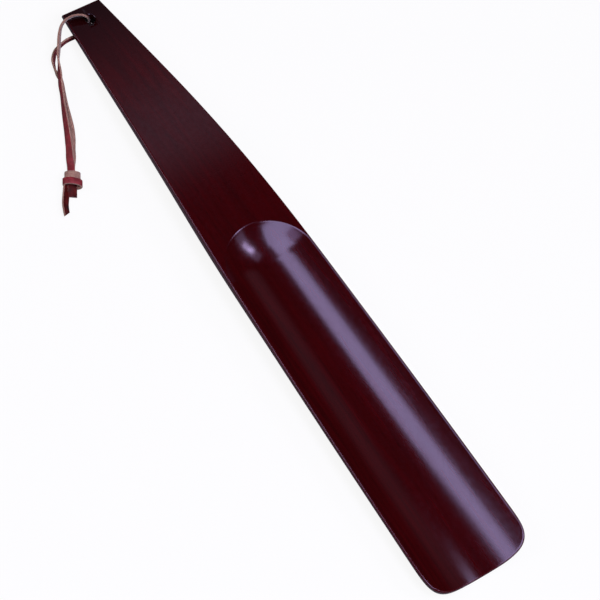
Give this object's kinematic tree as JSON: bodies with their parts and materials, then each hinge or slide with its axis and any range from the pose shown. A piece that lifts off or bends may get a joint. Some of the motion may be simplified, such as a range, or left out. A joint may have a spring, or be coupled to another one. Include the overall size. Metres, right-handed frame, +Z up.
{
  "type": "shoe horn",
  "caption": "Carved wooden shoe horn with a flat tapering handle, a shallow scooped blade and a knotted flat leather hanging lace through the handle's end.",
  "frame": {"origin": "the middle of the horn's box, at the table that it lies on with its scoop up", "axes": "+X from the handle's end to the lip, +Y across the horn, away from the side where the lace lies, +Z up from the table"},
  "size_m": [0.2802, 0.0828, 0.0131],
  "materials": {
    "mahogany_lacquer": "gloss",
    "lace_leather": "matte"
  },
  "bodies": {
    "horn": {"wooden_horn": "mahogany_lacquer"},
    "lace": {"lace_front_leg": "lace_leather", "lace_back_leg": "lace_leather", "lace_knot": "lace_leather", "lace_long_tail": "lace_leather", "lace_short_tail": "lace_leather"}
  },
  "joints": [
    {"name": "lace_swing", "type": "hinge", "parent": "horn", "child": "lace", "pos_m": [-0.13317, 0, 0.00492], "axis": [0, 0, 1], "range_deg": [-180, 25]}
  ]
}
